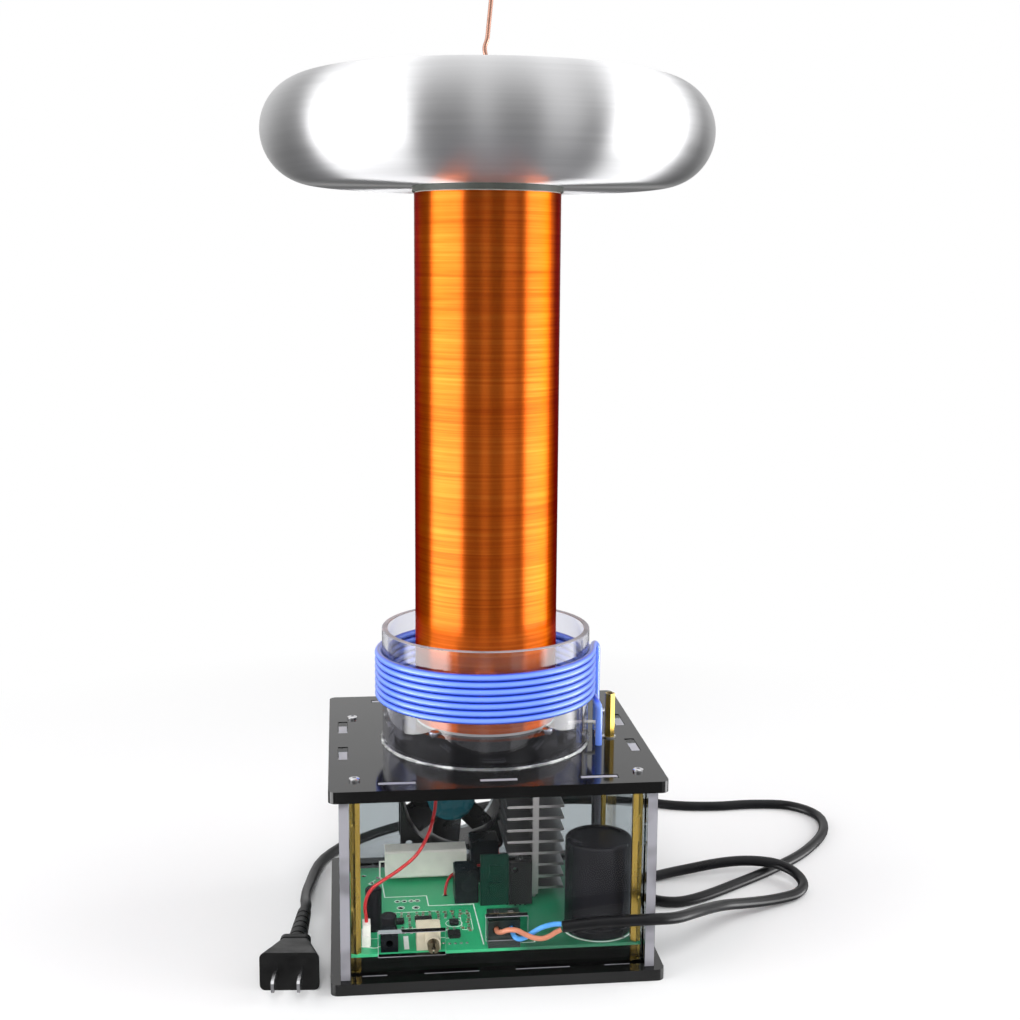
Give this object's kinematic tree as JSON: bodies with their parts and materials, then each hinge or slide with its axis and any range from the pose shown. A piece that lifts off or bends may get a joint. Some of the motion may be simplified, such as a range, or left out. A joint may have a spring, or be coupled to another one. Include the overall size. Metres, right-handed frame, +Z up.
{
  "type": "desktop resonant transformer",
  "caption": "Desktop resonant transformer: copper-wound tower with a spun metal toroid and a blue primary winding on a clear box of drive electronics, with fan, controls, mains lead and plug.",
  "frame": {"origin": "centre of the underside of the bottom plate", "axes": "+Z up along the tower, -Y to the front with the controls, +X to the right"},
  "size_m": [0.3572, 0.2924, 0.5047],
  "materials": {
    "black_acrylic": "polished black sheet",
    "clear_acrylic": "clear sheet",
    "brass": "turned",
    "screw_steel": "plated",
    "black_steel": "blackened",
    "board": "green resist",
    "capacitor_sleeve": "shrunk sleeve",
    "white_cement": "matt",
    "tinned_wire": "tinned",
    "extruded_aluminium": "extruded",
    "black_epoxy": "moulded",
    "dark_plastic": "moulded",
    "green_tape": "wrapped",
    "fan_plastic": "moulded",
    "red_wire": "insulated",
    "green_plastic": "moulded",
    "beige_plastic": "moulded",
    "white_plastic": "moulded",
    "clear_tube": "clear tube",
    "glue": "set bead",
    "blue_insulation": "insulated",
    "grey_plastic": "turned",
    "white_tube": "pipe",
    "enamelled_copper": "varnished fine wire",
    "spun_aluminium": "spun",
    "white_insulation": "insulated",
    "steel_wire": "drawn",
    "black_sheath": "sheath",
    "brown_insulation": "insulated",
    "pale_blue_insulation": "insulated"
  },
  "bodies": {
    "case": {"base_plate": "black_acrylic", "top_plate": "black_acrylic", "left_wall": "clear_acrylic", "right_wall": "clear_acrylic", "front_panel": "clear_acrylic", "back_panel": "clear_acrylic", "foot_standoffs": "brass", "lower_standoffs": "brass", "middle_standoffs": "brass", "top_standoffs": "brass", "round_screws": "screw_steel", "base_screws": "screw_steel", "circuit_board": "board", "storage_capacitor": "capacitor_sleeve", "cement_resistor": "white_cement", "resistor_leads": "tinned_wire", "heat_sink": "extruded_aluminium", "power_transistors": "black_epoxy", "rectifier": "black_epoxy", "relay": "dark_plastic", "film_capacitor": "dark_plastic", "driver_board": "board", "gate_transformer": "green_tape", "control_chips": "black_epoxy", "small_capacitors": "capacitor_sleeve", "fan_frame": "fan_plastic", "fan_screws": "screw_steel", "fan_lead": "red_wire", "terminal_block": "green_plastic", "terminal_screws": "brass", "potentiometer_body": "beige_plastic", "audio_jack": "black_epoxy", "lead_connector": "white_plastic", "sense_lead": "red_wire", "primary_former": "clear_tube", "glue_bead": "glue", "primary_winding": "blue_insulation", "primary_leads": "blue_insulation", "coil_base_disc": "white_plastic", "coil_collar": "grey_plastic", "secondary_former": "white_tube", "secondary_winding": "enamelled_copper", "coil_top_cap": "grey_plastic", "toroid_lower": "spun_aluminium", "toroid_upper": "spun_aluminium", "toroid_spacer": "grey_plastic", "toroid_rod": "screw_steel", "hex_nuts": "screw_steel", "breakout_wire": "steel_wire", "ground_post": "brass", "ground_lug": "tinned_wire", "ground_lead": "white_insulation", "mains_cord": "black_sheath", "live_core": "brown_insulation", "neutral_core": "pale_blue_insulation", "plug_body": "black_epoxy", "plug_blades": "brass"},
    "fan": {"fan_rotor": "fan_plastic"},
    "volume": {"pot_shaft": "beige_plastic"}
  },
  "joints": [
    {"name": "fan_spin", "type": "hinge", "parent": "case", "child": "fan", "pos_m": [-0.015, 0.055, 0.054], "axis": [0, -1, 0], "continuous": true},
    {"name": "volume_turn", "type": "hinge", "parent": "case", "child": "volume", "pos_m": [-0.0334, -0.068, 0.0226], "axis": [0, -1, 0], "range_deg": [-150, 150]}
  ]
}
